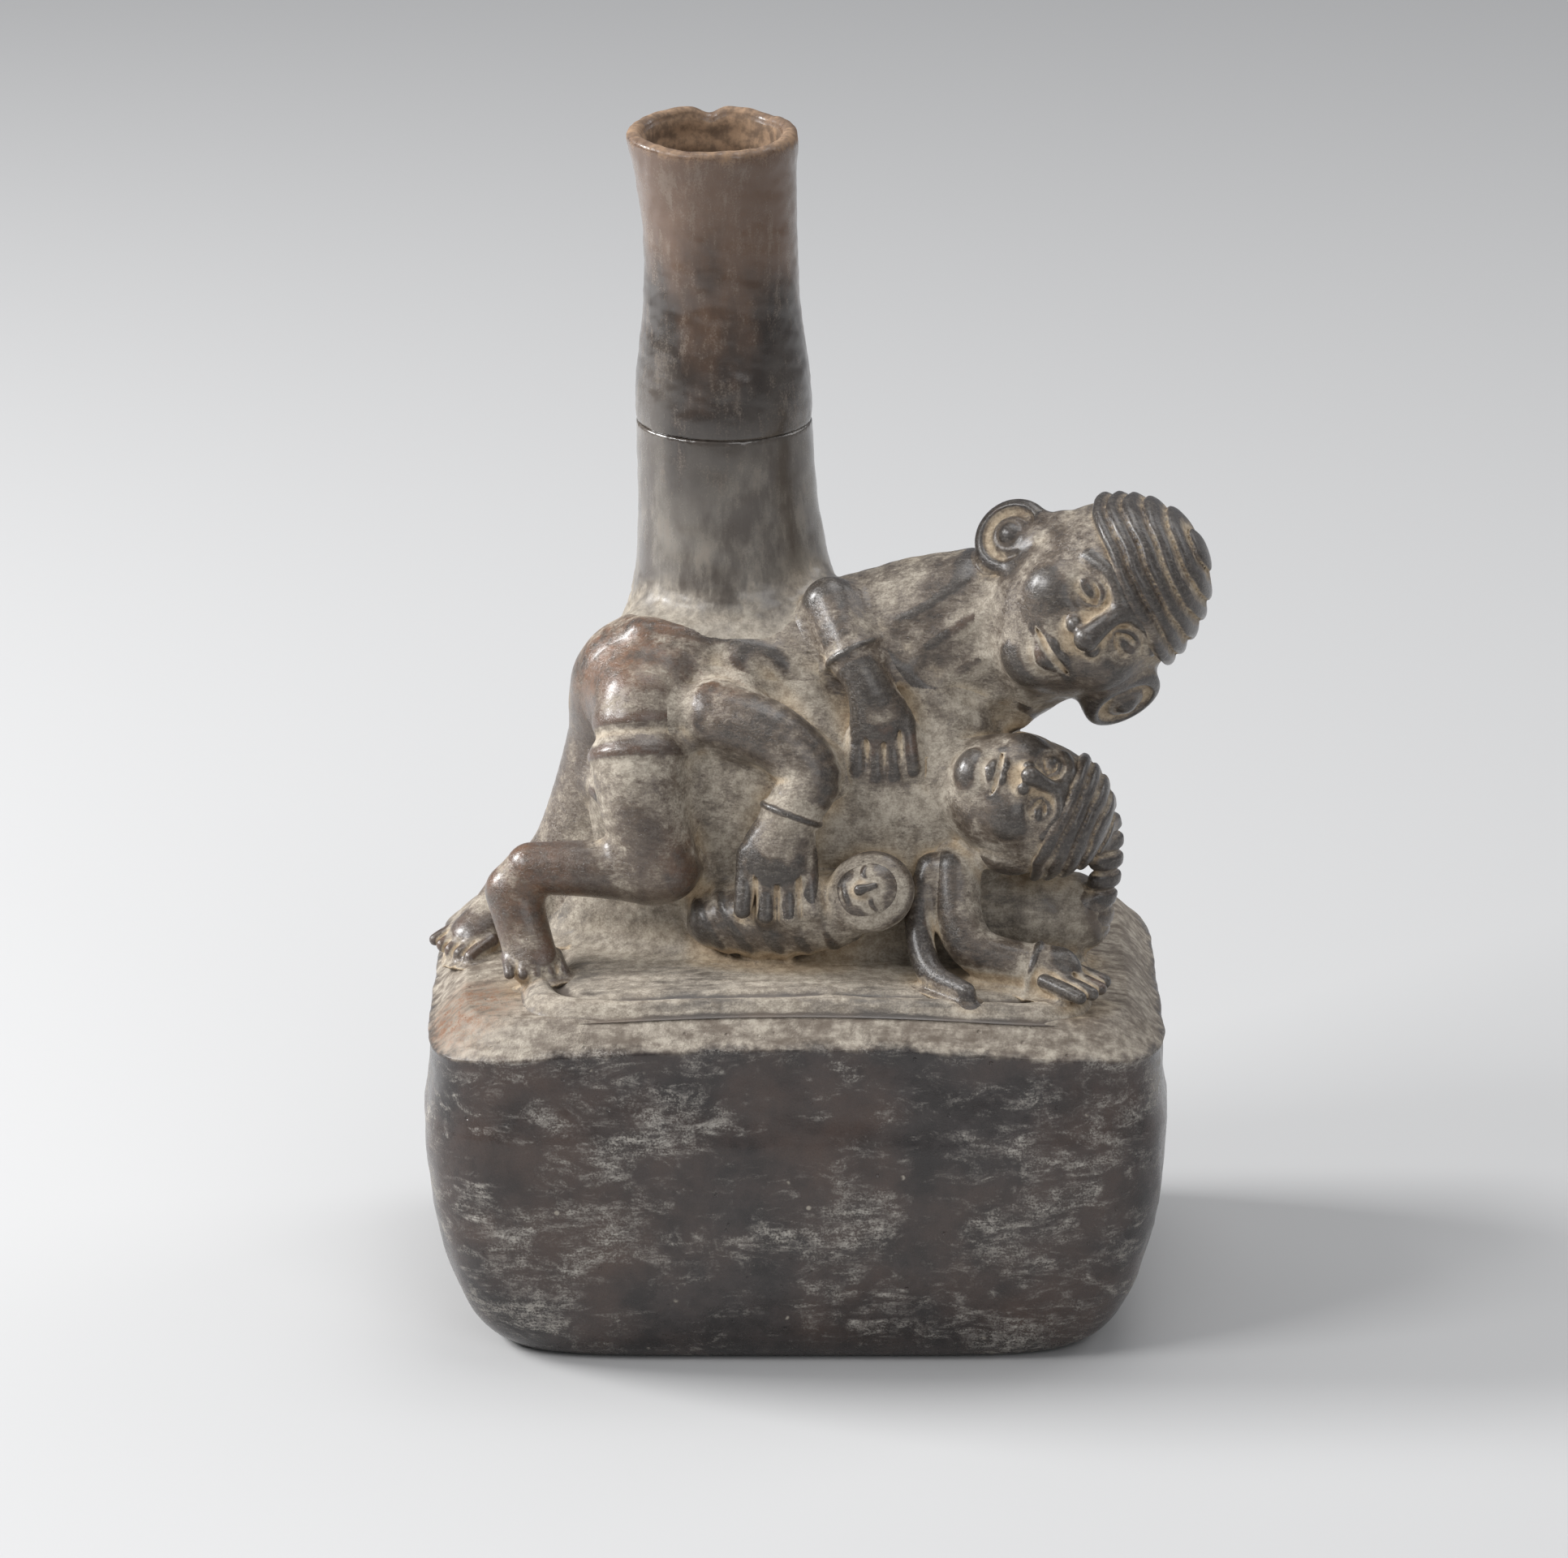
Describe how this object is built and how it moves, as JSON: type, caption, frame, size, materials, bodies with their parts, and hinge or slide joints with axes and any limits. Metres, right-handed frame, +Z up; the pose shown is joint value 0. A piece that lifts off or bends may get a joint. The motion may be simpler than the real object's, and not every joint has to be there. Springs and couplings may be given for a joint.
{
  "type": "stirrup-spout bottle",
  "caption": "Burnished black pottery bottle shaped as a bed with two resting figures and a swaddled infant, and one tall tubular spout behind them.",
  "frame": {"origin": "centre of the flat foot that the bottle stands on", "axes": "+Z up along the spout, +X to the right of the bed's long front, the heads' end, -Y towards the front"},
  "size_m": [0.1496, 0.0998, 0.2248],
  "materials": {
    "chamber_clay": "burnished black earthenware, streaked with pale mineral crust",
    "spout_clay": "burnished black-brown earthenware, glossy, tan at the worn rim",
    "bed_clay": "unburnished earthenware under tan dust",
    "figure_clay": "rubbed grey earthenware with tan dust in the hollows",
    "limb_clay": "rubbed brown earthenware with tan dust in the hollows",
    "trim_clay": "dark rubbed earthenware with incised lines"
  },
  "bodies": {
    "root": {"chamber_tub": "chamber_clay", "bed_slab": "chamber_clay", "sleeping_mat": "bed_clay", "figure_mound": "bed_clay", "spout_neck": "spout_clay", "spout_tube": "spout_clay", "rear_figure_tunic": "figure_clay", "front_figure_tunic": "figure_clay", "bolster": "bed_clay", "rear_figure_head": "figure_clay", "rear_figure_head_cloth": "trim_clay", "rear_figure_upper_ear_disc": "trim_clay", "rear_figure_lower_ear_disc": "trim_clay", "front_figure_head": "figure_clay", "front_figure_head_cloth": "trim_clay", "front_figure_hair_tail": "trim_clay", "far_leg": "limb_clay", "far_foot": "limb_clay", "near_thigh": "limb_clay", "near_shin": "limb_clay", "near_foot": "limb_clay", "rear_figure_arm": "figure_clay", "front_figure_near_arm": "figure_clay", "front_figure_resting_arm": "figure_clay", "front_figure_sleeve_band": "trim_clay", "infant_head": "figure_clay", "infant_wrap": "bed_clay"}
  },
  "joints": []
}
